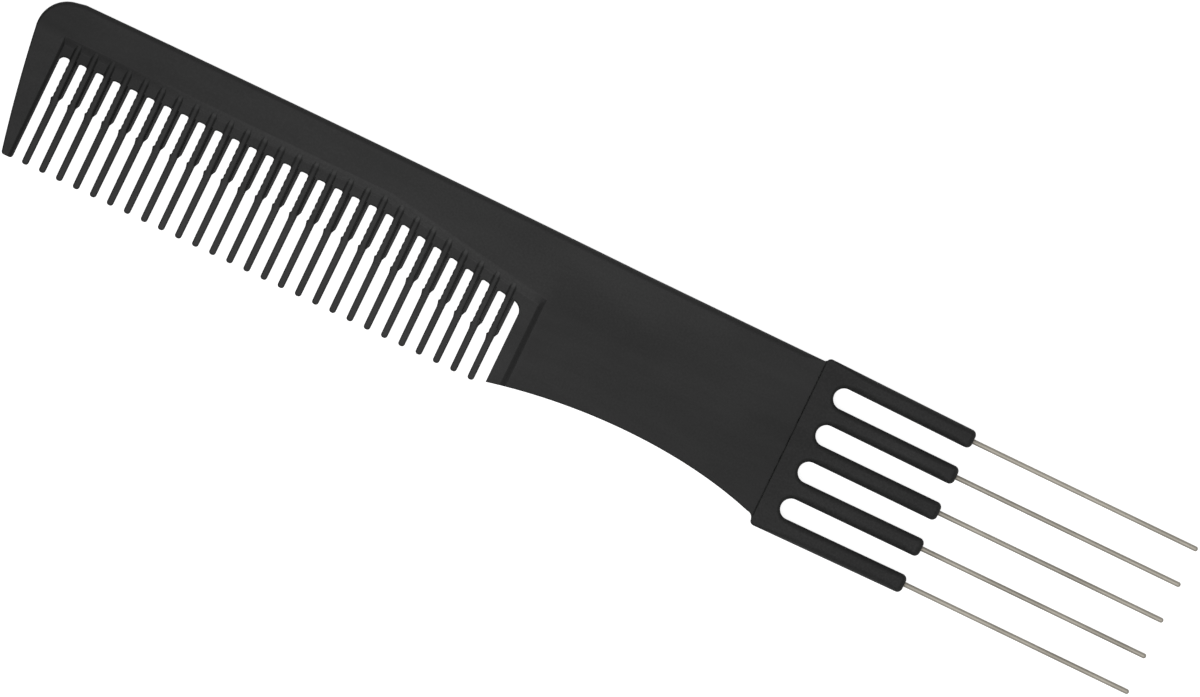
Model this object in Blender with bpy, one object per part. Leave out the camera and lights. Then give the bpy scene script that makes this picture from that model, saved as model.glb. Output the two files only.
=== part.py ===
# Lift comb: a comb body with one row of teeth, a prong holder that closes the end of its
# handle, and five steel pins set in the holder's fingers.
#
# Lengths are in metres. +X runs along the comb from the toothed end to the pins, the teeth
# point to -Y and +Z is up. The origin is at the middle of the plan, on the surface that the
# comb lies on. Shapes are first laid out from a datum at the left guard's inner side (x = 0),
# the middle of the prong holder (y = 0) and the mid-plane of all pieces (z = 0).

import math

import bmesh
import bpy
from mathutils import Vector, geometry

# Teeth
TOOTH_COUNT = 27
TOOTH_PITCH = 0.00286        # between the first two teeth
PITCH_GROWTH = 0.0000029     # each pitch is this much wider than the one before it
TOOTH_LENGTH = 0.01738       # root line to tips, where the root line is level
TOOTH_WIDTH = 0.00113        # widest, just past the notched stretch
TOOTH_TIP_WIDTH = 0.00105
TOOTH_NECK_WIDTH = 0.00092
TOOTH_NECK_DROP = 0.0005     # the neck's place, below the root line
RIB_TOP_WIDTH = 0.00062      # where the rib leaves the recess wall
RIB_ABOVE_ROOT = 0.0033
RIB_THICKNESS = 0.0024
TOOTH_TIP_THICKNESS = 0.0015
TOOTH_EDGE_ROUND = 0.00022
TOOTH_TIP_ROUND = 0.0004
FIRST_GAP = 0.00211          # left guard to the middle of the first tooth
LAST_GAP = 0.00234           # middle of the last tooth to the right guard

# Ledge along each tooth's upper part, with a nub at its lower end
LEDGE_REACH = 0.00096        # from the middle of the tooth, pin side
LEDGE_END_REACH = 0.0009
LEDGE_BACK_REACH = 0.00059   # from the middle of the tooth, guard side
LEDGE_LENGTH = 0.0059
LEDGE_CHAMFER = 0.0005
LEDGE_THICKNESS = 0.0009
NUB_REACH = 0.00074
NUB_LENGTH = 0.0003
NUB_SLOPE = 0.0004
LEDGE_ANCHOR = 0.0006        # how far the ledge runs into the root

# Comb body outline
BLADE_DEPTH = 0.02605        # spine to tooth tips
SPINE_STRAIGHT = 0.03        # the spine is straight over this, from the seam, then bows out
SPINE_BOW = 0.00022
SPINE_FALL = 0.00012         # the spine is this much lower at the toothed end
NOSE_LENGTH = 0.0065
NOSE_DROP = 0.0013
NOSE_ROUND = 0.00495
GUARD_ROOT_WIDTH = 0.00633
GUARD_TIP_WIDTH = 0.00177
GUARD_BOW = 0.00021
GUARD_TIP_ROUND = 0.0005
GUARD_GAP_ROUND = 0.0006
LEVEL_ROOT_LENGTH = 0.05455  # left guard to where the root line starts to fall
ROOT_FALL_ANGLE = math.radians(8.75)
HEEL_GAP_ROUND = 0.0018
HEEL_RISE = 0.00071          # the right guard's tip ends this far short of the tooth tips
HANDLE_LENGTH = 0.04532      # right guard's inner side to the seam
HEEL_ANGLE = math.radians(13.3)      # slope of the handle's lower edge at the right guard
SEAM_ANGLE = math.radians(16.8)      # slope of the same edge at the seam
HANDLE_CURVE_SHARE = 0.32            # pull of both slopes, as a share of the edge's length
SPINE_STEP = 0.0007          # holder stands out past the spine by this
LOWER_STEP = 0.00165         # holder stands out past the lower edge by this
SPINE_FLARE_RADIUS = 0.0005
LOWER_FLARE_RADIUS = 0.0011
SPINE_FLARE_ANGLE = math.radians(55)
LOWER_FLARE_ANGLE = math.radians(78)

# Comb body thickness
PLATE_THICKNESS = 0.0032     # handle, up to the right guard
NOSE_THICKNESS = 0.0026      # toothed end
SPINE_ROUND = 0.001
SPINE_ROUND_RUN = 0.003      # the spine's round grows to its full size over this, from the flare
EDGE_ROUND = 0.0003

# Recess round the roots of the teeth
RECESS_THICKNESS = 0.0016    # what is left between the two recess floors
RECESS_ABOVE_ROOT = 0.002
RECESS_INTO_GUARD = 0.0001
RECESS_INTO_HEEL = 0.0022
RECESS_TOP_SLOPE = 0.0011
RECESS_SIDE_SLOPE = 0.0006

# Prong holder
BAND_WIDTH = 0.02803
BAND_LENGTH = 0.00303
HOLDER_LENGTH = 0.0252
HOLDER_THICKNESS = 0.004
HOLDER_CORNER_ROUND = 0.0006
FINGER_COUNT = 5
FINGER_WIDTH = 0.00287
BAND_SHOULDER = 0.00016      # the band stands out past the outer fingers' roots by this
FINGER_CLOSING = 0.00012     # the fingers' pitch is this much less at their ends
FINGER_TIP_ROUND = 0.00085
FINGER_END_ROUND = 0.0007    # round of the edges at a finger's end
FINGER_EDGE_ROUND = 0.0012   # the same along its sides
FINGER_ROUND_RUN = 0.0015    # the first grows to the second over this
SLOT_EDGE_ROUND = 0.0004
BAND_EDGE_ROUND = 0.00025
SEAM_GAP = 0.0003

# Tongue of the holder, inside the handle, and the two lock holes through it
TONGUE_LENGTH = 0.009
TONGUE_THICKNESS = 0.0012
TONGUE_MARGIN = 0.0012       # in from the body's outline at the seam
TONGUE_TAPER = 0.0023        # narrower by this on each side at its free end
TONGUE_CLEARANCE = 0.0003
TONGUE_OVERLAP = 0.0005      # how far the tongue's root runs into the band
LOCK_HOLE_RADIUS = 0.0016

# Pins
PIN_RADIUS = 0.0004
PIN_REACH = 0.038            # past the finger ends
PIN_CLOSING = 0.00006        # the pins' pitch is this much less than that of the finger ends
PIN_FIT = 0.00005
PIN_ROOT_WALL = 0.001        # holder left behind the blind end of each bore
PIN_END_GAP = 0.0003
PIN_SIDES = 12
PIN_TIP_STEPS = 3

# Steps of the round stretches
TOOTH_TIP_ANGLES = [math.radians(angle) for angle in (0, 45, 80)]
NOSE_STEPS = 8
CORNER_STEPS = 4
SLOT_STEPS = 12
BOW_STEPS = 10
HANDLE_STEPS = 16
LOCK_HOLE_SIDES = 24
EDGE_SEGMENTS = 3

# Cutters run past the surfaces that they open by this
CUT_OVERRUN = 0.001
# Points closer than this are one point
MERGE_DISTANCE = 0.0000001

# Colour, roughness and metallic value of each material
BODY_FINISH = ((0.031, 0.031, 0.031), 0.55, 0.0)
HOLDER_FINISH = ((0.024, 0.024, 0.024), 0.5, 0.0)
PIN_FINISH = ((0.45, 0.42, 0.38), 0.3, 1.0)

# Places that follow from the sizes above
FIRST_TOOTH_X = FIRST_GAP
LAST_TOOTH = TOOTH_COUNT - 1
LAST_TOOTH_X = FIRST_TOOTH_X + LAST_TOOTH * (TOOTH_PITCH + (LAST_TOOTH - 1) * PITCH_GROWTH / 2)
HEEL_X = LAST_TOOTH_X + LAST_GAP
SEAM_X = HEEL_X + HANDLE_LENGTH
HOLDER_X = SEAM_X + SEAM_GAP
FINGER_END_X = HOLDER_X + HOLDER_LENGTH
PIN_TIP_X = FINGER_END_X + PIN_REACH
SPINE_Y = BAND_WIDTH / 2 - SPINE_STEP
TIP_Y = SPINE_Y - BLADE_DEPTH
LEVEL_ROOT_Y = TIP_Y + TOOTH_LENGTH
LOWER_SEAM_Y = LOWER_STEP - BAND_WIDTH / 2
FALL_START_X = LEVEL_ROOT_LENGTH
MIDDLE_FINGER = (FINGER_COUNT - 1) / 2
FINGER_ROOT_PITCH = (BAND_WIDTH / 2 - BAND_SHOULDER - FINGER_WIDTH / 2) / MIDDLE_FINGER
FINGER_TIP_PITCH = FINGER_ROOT_PITCH - FINGER_CLOSING


# Plan curves

def arc_points(centre, radius, start, sweep, steps):
    """Points along an arc, both ends included. Angles run anticlockwise from +X."""
    angles = [start + sweep * step / steps for step in range(steps + 1)]
    return [(centre[0] + radius * math.cos(a), centre[1] + radius * math.sin(a)) for a in angles]


def bowed_edge(start, end, bow, steps):
    """Points of a shallow arc, both ends included, whose middle stands out to the right
    of the way from start to end by bow."""
    start, end = Vector(start), Vector(end)
    along = (end - start).normalized()
    right = Vector((along.y, -along.x))
    half_chord = (end - start).length / 2
    radius = (half_chord ** 2 + bow ** 2) / (2 * abs(bow))
    half_angle = math.asin(half_chord / radius)
    points = []
    for step in range(steps + 1):
        angle = half_angle * (2 * step / steps - 1)
        forward = half_chord + radius * math.sin(angle)
        out = math.copysign(radius * math.cos(angle) - radius + abs(bow), bow)
        points.append(tuple(start + along * forward + right * out))
    return points


def round_corner(before, corner, after, radius, steps):
    """Points of the round that takes the place of a sharp corner."""
    before, corner, after = Vector(before), Vector(corner), Vector(after)
    to_before = (before - corner).normalized()
    to_after = (after - corner).normalized()
    half_angle = to_before.angle(to_after) / 2
    centre = corner + (to_before + to_after).normalized() * (radius / math.sin(half_angle))
    first = corner + to_before * (radius / math.tan(half_angle)) - centre
    sweep = math.pi - 2 * half_angle
    if to_before.x * to_after.y - to_before.y * to_after.x > 0:
        sweep = -sweep
    return arc_points(centre, radius, math.atan2(first.y, first.x), sweep, steps)


def flare(y, side, radius, sweep):
    """Points of the edge's small flare up to the seam. Side is 1 at the spine, -1 below."""
    angles = [sweep * step / CORNER_STEPS for step in range(CORNER_STEPS + 1)]
    start_x = SEAM_X - radius * math.sin(sweep)
    return [(start_x + radius * math.sin(a), y + side * radius * (1 - math.cos(a))) for a in angles]


def root_y(x):
    """Height of the root line: level, then falling towards the handle."""
    return LEVEL_ROOT_Y - max(x - FALL_START_X, 0) * math.tan(ROOT_FALL_ANGLE)


def tooth_middle(index):
    """Middle of a tooth, numbered from the left guard."""
    return FIRST_TOOTH_X + index * (TOOTH_PITCH + (index - 1) * PITCH_GROWTH / 2)


def plate_thickness(x):
    """The plate's thickness at x. It thins from the right guard to the toothed end."""
    share = min(max((HEEL_X - x) / (HEEL_X + GUARD_ROOT_WIDTH), 0), 1)
    return PLATE_THICKNESS + (NOSE_THICKNESS - PLATE_THICKNESS) * share


# Building meshes

def new_object(name, mesh_data, is_tool=False):
    """Makes an object from a bmesh and places the plan's datum in the part's frame."""
    bmesh.ops.recalc_face_normals(mesh_data, faces=mesh_data.faces)
    mesh = bpy.data.meshes.new(name)
    mesh_data.to_mesh(mesh)
    mesh_data.free()
    mesh.shade_smooth()
    mesh.set_sharp_from_angle(angle=math.radians(35))
    obj = bpy.data.objects.new(name, mesh)
    bpy.context.scene.collection.objects.link(obj)
    obj.location = ORIGIN
    if is_tool:
        obj.hide_render = True
        obj.display_type = "WIRE"
    return obj


def add_loft(mesh_data, rings):
    """Adds a closed body through rings with the same number of points."""
    loops = [[mesh_data.verts.new(point) for point in ring] for ring in rings]
    mesh_data.faces.new(reversed(loops[0]))
    mesh_data.faces.new(loops[-1])
    for near, far in zip(loops, loops[1:]):
        for index in range(len(near)):
            following = (index + 1) % len(near)
            mesh_data.faces.new((near[index], near[following], far[following], far[index]))


def add_prism(mesh_data, outline, bottom, top, top_outline=None):
    """Adds a closed prism on a plan outline, or a frustum where the top outline differs."""
    lower = [(x, y, bottom) for x, y in outline]
    upper = [(x, y, top) for x, y in top_outline or outline]
    add_loft(mesh_data, [lower, upper])


def inset(rim, share):
    """Plan outline of a rim, each point moved inwards by a share of its own round."""
    moved = []
    for index, (x, y, rim_round) in enumerate(rim):
        here = Vector((x, y))
        arriving = (here - Vector(rim[index - 1][:2])).normalized()
        leaving = (Vector(rim[(index + 1) % len(rim)][:2]) - here).normalized()
        inward = Vector((-arriving.y - leaving.y, arriving.x + leaving.x)) / (1 + arriving.dot(leaving))
        moved.append(here + inward * rim_round * share)
    return moved


def add_rounded_plate(mesh_data, rim, half_thickness):
    """Adds a plate whose rim is rounded over, at each point by that point's own round."""
    steps = range(EDGE_SEGMENTS + 1)
    rings = []
    for side, order in ((-1, reversed(steps)), (1, steps)):
        for step in order:
            angle = math.pi / 2 * step / EDGE_SEGMENTS
            outline = inset(rim, 1 - math.cos(angle))
            levels = [half_thickness - point[2] * (1 - math.sin(angle)) for point in rim]
            rings.append([(x, y, side * level) for (x, y), level in zip(outline, levels)])
    add_loft(mesh_data, rings)
    bmesh.ops.remove_doubles(mesh_data, verts=mesh_data.verts, dist=MERGE_DISTANCE)


def combine(obj, operation, tool):
    boolean = obj.modifiers.new(tool.name, "BOOLEAN")
    boolean.operation = operation
    boolean.object = tool


def set_finish(obj, finish):
    colour, roughness, metallic = finish
    material = bpy.data.materials.new(obj.name + "_finish")
    material.use_nodes = True
    shader = material.node_tree.nodes["Principled BSDF"]
    shader.inputs["Base Color"].default_value = (*colour, 1)
    shader.inputs["Roughness"].default_value = roughness
    shader.inputs["Metallic"].default_value = metallic
    obj.data.materials.append(material)


# Comb body

def rim_stretch(points, first_round, last_round):
    """Points with their rim's round, which changes evenly from the first to the last."""
    last = max(len(points) - 1, 1)
    change = last_round - first_round
    return [(x, y, first_round + change * index / last) for index, (x, y) in enumerate(points)]


def lower_edge(start, end):
    """Points of the handle's lower edge, which curves in between the guard and the seam."""
    start, end = Vector(start), Vector(end)
    pull = (end - start).length * HANDLE_CURVE_SHARE
    start_handle = start + pull * Vector((math.cos(HEEL_ANGLE), math.sin(HEEL_ANGLE)))
    end_handle = end + pull * Vector((-math.cos(SEAM_ANGLE), math.sin(SEAM_ANGLE)))
    curve = geometry.interpolate_bezier(start, start_handle, end_handle, end, HANDLE_STEPS)
    return [(point.x, point.y) for point in curve]


def body_rim():
    """Anticlockwise outline of the body without its teeth, with the rim's round at each
    point. The rim is left sharp at the seam and along the roots of the teeth."""
    spine_left = (NOSE_LENGTH - GUARD_ROOT_WIDTH, SPINE_Y - SPINE_FALL)
    nose_corner = (-GUARD_ROOT_WIDTH, spine_left[1] - NOSE_DROP)
    tip_outer, tip_inner = (-GUARD_TIP_WIDTH, TIP_Y), (0, TIP_Y)
    guard_gap_corner = (0, LEVEL_ROOT_Y)
    fall_start = (FALL_START_X, LEVEL_ROOT_Y)
    heel_gap_corner = (HEEL_X, root_y(HEEL_X))
    heel_tip = (HEEL_X, TIP_Y + HEEL_RISE)

    spine_flare = flare(SPINE_Y, 1, SPINE_FLARE_RADIUS, SPINE_FLARE_ANGLE)[::-1]
    spine_start = (spine_flare[-1][0] - SPINE_ROUND_RUN, SPINE_Y)
    bow_start = (SEAM_X - SPINE_STRAIGHT, SPINE_Y)
    spine = [spine_start] + bowed_edge(bow_start, spine_left, SPINE_BOW, BOW_STEPS)
    nose = round_corner(spine_left, nose_corner, tip_outer, NOSE_ROUND, NOSE_STEPS)
    outer_tip = round_corner(nose_corner, tip_outer, tip_inner, GUARD_TIP_ROUND, CORNER_STEPS)
    guard_side = bowed_edge(nose[-1], outer_tip[0], GUARD_BOW, BOW_STEPS)
    inner_tip = round_corner(tip_outer, tip_inner, guard_gap_corner, GUARD_TIP_ROUND, CORNER_STEPS)
    guard_gap = round_corner(tip_inner, guard_gap_corner, fall_start, GUARD_GAP_ROUND, CORNER_STEPS)
    heel_gap = round_corner(fall_start, heel_gap_corner, heel_tip, HEEL_GAP_ROUND, CORNER_STEPS)
    low_flare = flare(LOWER_SEAM_Y, -1, LOWER_FLARE_RADIUS, LOWER_FLARE_ANGLE)

    rim = rim_stretch(spine_flare, 0, EDGE_ROUND)
    rim += rim_stretch(spine, SPINE_ROUND, SPINE_ROUND)
    rim += rim_stretch(nose, SPINE_ROUND, EDGE_ROUND)
    rim += rim_stretch(guard_side[1:-1] + outer_tip, EDGE_ROUND, EDGE_ROUND)
    rim += rim_stretch(inner_tip, EDGE_ROUND, 0)
    rim += rim_stretch(guard_gap + [fall_start] + heel_gap + [heel_tip], 0, 0)
    rim += rim_stretch(lower_edge(heel_tip, low_flare[0])[1:], EDGE_ROUND, EDGE_ROUND)
    rim += rim_stretch(low_flare[1:], EDGE_ROUND, 0)
    return rim


def make_plate():
    mesh_data = bmesh.new()
    add_rounded_plate(mesh_data, body_rim(), PLATE_THICKNESS / 2)
    everything = mesh_data.verts[:] + mesh_data.edges[:] + mesh_data.faces[:]
    bmesh.ops.bisect_plane(mesh_data, geom=everything, plane_co=(HEEL_X, 0, 0), plane_no=(1, 0, 0))
    for vert in mesh_data.verts:
        vert.co.z *= plate_thickness(vert.co.x) / PLATE_THICKNESS
    return new_object("comb_body", mesh_data)


def recess_outline(grow_share):
    """Outline of the recess, open below the teeth. Its walls stand back by grow_share of
    their slopes."""
    side = RECESS_SIDE_SLOPE * grow_share
    lift = RECESS_ABOVE_ROOT + RECESS_TOP_SLOPE * grow_share
    left, right = -RECESS_INTO_GUARD - side, HEEL_X + RECESS_INTO_HEEL + side
    low = TIP_Y - CUT_OVERRUN
    return [
        (left, low),
        (right, low),
        (right, root_y(right) + lift / math.cos(ROOT_FALL_ANGLE)),
        (FALL_START_X + lift * math.tan(ROOT_FALL_ANGLE / 2), LEVEL_ROOT_Y + lift),
        (left, LEVEL_ROOT_Y + lift),
    ]


def make_recess_cutter():
    """Two frustums, one for each face of the plate."""
    floor = RECESS_THICKNESS / 2
    depth = PLATE_THICKNESS / 2 - floor
    outer = floor + depth + CUT_OVERRUN
    wide = recess_outline((depth + CUT_OVERRUN) / depth)
    mesh_data = bmesh.new()
    add_prism(mesh_data, recess_outline(0), floor, outer, wide)
    add_prism(mesh_data, wide, -outer, -floor, recess_outline(0))
    return new_object("recess_cutter", mesh_data, is_tool=True)


def rib_ring(x, y, width, thickness, edge):
    """Section of a tooth square to its length: a rectangle with its corners taken off."""
    half_width, half_thickness = width / 2, thickness / 2
    corner_points = []
    for side, level in ((1, 1), (-1, 1), (-1, -1), (1, -1)):
        beside = (x + side * half_width, y, level * (half_thickness - edge))
        above = (x + side * (half_width - edge), y, level * half_thickness)
        corner_points += [beside, above] if side * level > 0 else [above, beside]
    return corner_points


def make_ribs():
    """The full height of every tooth, from inside the recess wall to the rounded tip."""
    mesh_data = bmesh.new()
    for index in range(TOOTH_COUNT):
        x = tooth_middle(index)
        root = root_y(x)
        stations = [
            (root + RIB_ABOVE_ROOT, RIB_TOP_WIDTH, RIB_THICKNESS),
            (root - TOOTH_NECK_DROP, TOOTH_NECK_WIDTH, RIB_THICKNESS),
            (root - LEDGE_LENGTH - LEDGE_CHAMFER, TOOTH_WIDTH, RIB_THICKNESS),
        ]
        rings = [rib_ring(x, *station, TOOTH_EDGE_ROUND) for station in stations]
        for angle in TOOTH_TIP_ANGLES:
            y = TIP_Y + TOOTH_TIP_ROUND * (1 - math.sin(angle))
            shrink = 2 * TOOTH_TIP_ROUND * (1 - math.cos(angle))
            width, thickness = TOOTH_TIP_WIDTH - shrink, TOOTH_TIP_THICKNESS - shrink
            rings.append(rib_ring(x, y, width, thickness, TOOTH_EDGE_ROUND * width / TOOTH_TIP_WIDTH))
        add_loft(mesh_data, rings)
    return new_object("tooth_ribs", mesh_data, is_tool=True)


def make_ledges():
    """The thin ledge along each tooth's upper part, which ends in a chamfer and a nub."""
    mesh_data = bmesh.new()
    for index in range(TOOTH_COUNT):
        x = tooth_middle(index)
        root = root_y(x)
        top = root + LEDGE_ANCHOR
        end = root - LEDGE_LENGTH
        nub_end = end - LEDGE_CHAMFER - NUB_LENGTH
        outline = [
            (x - LEDGE_BACK_REACH, top),
            (x - LEDGE_BACK_REACH, end),
            (x - NUB_REACH, end - NUB_SLOPE),
            (x - NUB_REACH, nub_end),
            (x - TOOTH_WIDTH / 4, nub_end - NUB_SLOPE),
            (x + TOOTH_WIDTH / 4, nub_end - NUB_SLOPE),
            (x + TOOTH_WIDTH / 4, end - 2 * LEDGE_CHAMFER),
            (x + LEDGE_END_REACH, end),
            (x + LEDGE_REACH, top),
        ]
        add_prism(mesh_data, outline, -LEDGE_THICKNESS / 2, LEDGE_THICKNESS / 2)
    return new_object("tooth_ledges", mesh_data, is_tool=True)


def make_comb_body():
    body = make_plate()
    combine(body, "DIFFERENCE", make_recess_cutter())
    combine(body, "UNION", make_ribs())
    combine(body, "UNION", make_ledges())
    combine(body, "DIFFERENCE", make_tongue("tongue_slot_cutter", TONGUE_CLEARANCE))
    set_finish(body, BODY_FINISH)


# Prong holder

def tongue_outline(clearance):
    """Outline of the tongue in the handle, or of its slot, which is clearance larger."""
    top_y = SPINE_Y - TONGUE_MARGIN + clearance
    low_y = LOWER_SEAM_Y + TONGUE_MARGIN - clearance
    end_x = HOLDER_X - TONGUE_LENGTH - clearance
    return [
        (HOLDER_X + TONGUE_OVERLAP, top_y),
        (end_x, top_y - TONGUE_TAPER),
        (end_x, low_y + TONGUE_TAPER),
        (HOLDER_X + TONGUE_OVERLAP, low_y),
    ]


def make_tongue(name, clearance):
    """The tongue, or the cutter of its slot, with two round lock holes. The cutter's holes
    are smaller, so they leave a post in the slot for each hole of the tongue."""
    half = TONGUE_THICKNESS / 2 + clearance
    mesh_data = bmesh.new()
    add_prism(mesh_data, tongue_outline(clearance), -half, half)
    tongue = new_object(name, mesh_data, is_tool=True)
    combine(tongue, "DIFFERENCE", make_lock_cutter(name + "_holes", LOCK_HOLE_RADIUS - clearance))
    return tongue


def make_lock_cutter(name, radius):
    x = HOLDER_X - TONGUE_LENGTH / 2
    half = TONGUE_THICKNESS / 2 + TONGUE_CLEARANCE + CUT_OVERRUN
    mesh_data = bmesh.new()
    for side in (-1, 1):
        centre = (x, side * FINGER_TIP_PITCH)
        circle = arc_points(centre, radius, 0, math.tau, LOCK_HOLE_SIDES)[:-1]
        add_prism(mesh_data, circle, -half, half)
    return new_object(name, mesh_data, is_tool=True)


def finger_middle(index, x):
    """Middle of a finger at x. The fingers close up slightly towards their ends."""
    share = (x - HOLDER_X - BAND_LENGTH) / (HOLDER_LENGTH - BAND_LENGTH)
    pitch = FINGER_ROOT_PITCH + (FINGER_TIP_PITCH - FINGER_ROOT_PITCH) * share
    return (index - MIDDLE_FINGER) * pitch


def pin_y(index):
    """Middle of the pin in a finger. The pins are parallel."""
    return (index - MIDDLE_FINGER) * (FINGER_TIP_PITCH - PIN_CLOSING)


def slot_arc(index):
    """Round bottom of the slot above finger index, from that finger to the next."""
    slot_width = FINGER_ROOT_PITCH - FINGER_WIDTH
    x = HOLDER_X + BAND_LENGTH + slot_width / 2
    low = finger_middle(index, x) + FINGER_WIDTH / 2
    high = finger_middle(index + 1, x) - FINGER_WIDTH / 2
    return arc_points((x, (low + high) / 2), (high - low) / 2, -math.pi / 2, -math.pi, SLOT_STEPS)


def slot_rim(index):
    """The slot's round bottom with its rim, less round where it is deepest."""
    arc = slot_arc(index)
    middle = len(arc) // 2
    return (rim_stretch(arc[:middle], FINGER_EDGE_ROUND, SLOT_EDGE_ROUND)
            + rim_stretch(arc[middle:], SLOT_EDGE_ROUND, FINGER_EDGE_ROUND))


def towards(start, end):
    """The point of the way from start to end where a finger's edge round is full."""
    start, end = Vector(start), Vector(end)
    return tuple(start + (end - start).normalized() * FINGER_ROUND_RUN)


def holder_rim():
    """Anticlockwise outline of the band and its fingers, with the rim's round at each point."""
    half_band, half_finger = BAND_WIDTH / 2, FINGER_WIDTH / 2
    rear_top, rear_low = (HOLDER_X, half_band), (HOLDER_X, -half_band)
    middles = [finger_middle(index, FINGER_END_X) for index in range(FINGER_COUNT)]
    corners = [((FINGER_END_X, y - half_finger), (FINGER_END_X, y + half_finger)) for y in middles]
    top_corner = round_corner(corners[-1][1], rear_top, rear_low, HOLDER_CORNER_ROUND, CORNER_STEPS)
    low_corner = round_corner(rear_top, rear_low, corners[0][0], HOLDER_CORNER_ROUND, CORNER_STEPS)

    band_share = BAND_LENGTH / HOLDER_LENGTH
    band_top = tuple(Vector(rear_top).lerp(Vector(corners[-1][1]), band_share))
    band_low = tuple(Vector(rear_low).lerp(Vector(corners[0][0]), band_share))

    rim = rim_stretch([band_top], FINGER_EDGE_ROUND, FINGER_EDGE_ROUND)
    rim += rim_stretch(top_corner + low_corner, BAND_EDGE_ROUND, BAND_EDGE_ROUND)
    rim += rim_stretch([band_low], FINGER_EDGE_ROUND, FINGER_EDGE_ROUND)
    for index, (low, high) in enumerate(corners):
        is_last = index == FINGER_COUNT - 1
        after = rear_top if is_last else slot_arc(index)[0]
        before = rim[-1][:2]
        tip = round_corner(before, low, high, FINGER_TIP_ROUND, CORNER_STEPS)
        tip += round_corner(low, high, after, FINGER_TIP_ROUND, CORNER_STEPS)
        rim += rim_stretch([towards(tip[0], before)], FINGER_EDGE_ROUND, FINGER_EDGE_ROUND)
        rim += rim_stretch(tip, FINGER_END_ROUND, FINGER_END_ROUND)
        rim += rim_stretch([towards(tip[-1], after)], FINGER_EDGE_ROUND, FINGER_EDGE_ROUND)
        if not is_last:
            rim += slot_rim(index)
    return rim


def make_bore_cutter():
    """Blind bores for the pins, from the finger ends into the band."""
    start = HOLDER_X + PIN_ROOT_WALL
    mesh_data = bmesh.new()
    for index in range(FINGER_COUNT):
        y = pin_y(index)
        radius = PIN_RADIUS + PIN_FIT
        rings = [pin_ring(x, y, radius) for x in (start, FINGER_END_X + CUT_OVERRUN)]
        add_loft(mesh_data, rings)
    return new_object("pin_bore_cutter", mesh_data, is_tool=True)


def make_prong_holder():
    mesh_data = bmesh.new()
    add_rounded_plate(mesh_data, holder_rim(), HOLDER_THICKNESS / 2)
    holder = new_object("prong_holder", mesh_data)
    combine(holder, "UNION", make_tongue("holder_tongue", 0))
    combine(holder, "DIFFERENCE", make_bore_cutter())
    set_finish(holder, HOLDER_FINISH)


# Pins

def pin_ring(x, y, radius):
    angles = [math.tau * side / PIN_SIDES for side in range(PIN_SIDES)]
    return [(x, y + radius * math.cos(a), radius * math.sin(a)) for a in angles]


def make_pins():
    """Round steel pins, each with a domed free end, numbered from the spine side."""
    start = HOLDER_X + PIN_ROOT_WALL + PIN_END_GAP
    angles = [math.pi / 2 * step / PIN_TIP_STEPS for step in range(PIN_TIP_STEPS)]
    for number in range(1, FINGER_COUNT + 1):
        y = pin_y(FINGER_COUNT - number)
        rings = [pin_ring(start, y, PIN_RADIUS)]
        for angle in angles:
            x = PIN_TIP_X - PIN_RADIUS * (1 - math.sin(angle))
            rings.append(pin_ring(x, y, PIN_RADIUS * math.cos(angle)))
        mesh_data = bmesh.new()
        add_loft(mesh_data, rings)
        set_finish(new_object(f"lift_pin_{number}", mesh_data), PIN_FINISH)


# The whole comb

def clear_scene():
    for obj in list(bpy.data.objects):
        bpy.data.objects.remove(obj)


LEFT_END_X = min(x for x, y, rim_round in body_rim())
ORIGIN = (-(LEFT_END_X + PIN_TIP_X) / 2, 0, HOLDER_THICKNESS / 2)

clear_scene()
make_comb_body()
make_prong_holder()
make_pins()
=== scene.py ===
import math

import bmesh
import bpy
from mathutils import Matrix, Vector, geometry


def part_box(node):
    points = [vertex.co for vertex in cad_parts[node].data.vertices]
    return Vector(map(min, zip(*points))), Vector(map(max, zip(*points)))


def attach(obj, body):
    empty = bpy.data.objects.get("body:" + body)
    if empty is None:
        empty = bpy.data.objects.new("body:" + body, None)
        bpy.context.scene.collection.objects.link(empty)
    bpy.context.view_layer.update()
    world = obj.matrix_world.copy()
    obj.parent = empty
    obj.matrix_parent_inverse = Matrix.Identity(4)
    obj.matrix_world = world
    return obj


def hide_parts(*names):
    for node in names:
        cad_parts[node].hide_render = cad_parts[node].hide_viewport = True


# Lift comb: the moulded body with its teeth, the holder and the steel pins, built round the
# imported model. Lengths are in metres. +X runs to the pins, the teeth point to -Y, +Z is up.

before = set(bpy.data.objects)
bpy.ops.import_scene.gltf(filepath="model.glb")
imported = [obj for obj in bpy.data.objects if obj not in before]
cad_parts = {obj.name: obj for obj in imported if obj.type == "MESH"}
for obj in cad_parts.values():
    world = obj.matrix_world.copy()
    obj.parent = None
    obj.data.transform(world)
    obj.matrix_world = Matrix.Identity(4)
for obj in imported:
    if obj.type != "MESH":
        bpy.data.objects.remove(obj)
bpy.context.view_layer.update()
bpy.ops.object.select_all(action="DESELECT")
print("frame loaded")

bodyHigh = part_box("comb_body")[1]
holderLow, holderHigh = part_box("prong_holder")
mm = 0.001
# outlines are drawn from the middle of the holder's band and the left guard's inner side
halfBand = 0.014015


# Drawing aids

def arcPoints(centre, radius, start, sweep, steps):
    angles = [start + sweep * step / steps for step in range(steps + 1)]
    return [(centre[0] + radius * math.cos(a), centre[1] + radius * math.sin(a)) for a in angles]


def bowedLine(start, end, bow, steps):
    # a shallow parabola from start to end that stands out to the right by bow
    start, end = Vector(start), Vector(end)
    along = end - start
    right = Vector((along.y, -along.x)).normalized()
    points = []
    for step in range(steps + 1):
        share = step / steps
        points.append(tuple(start + along * share + right * bow * 4 * share * (1 - share)))
    return points


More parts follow.
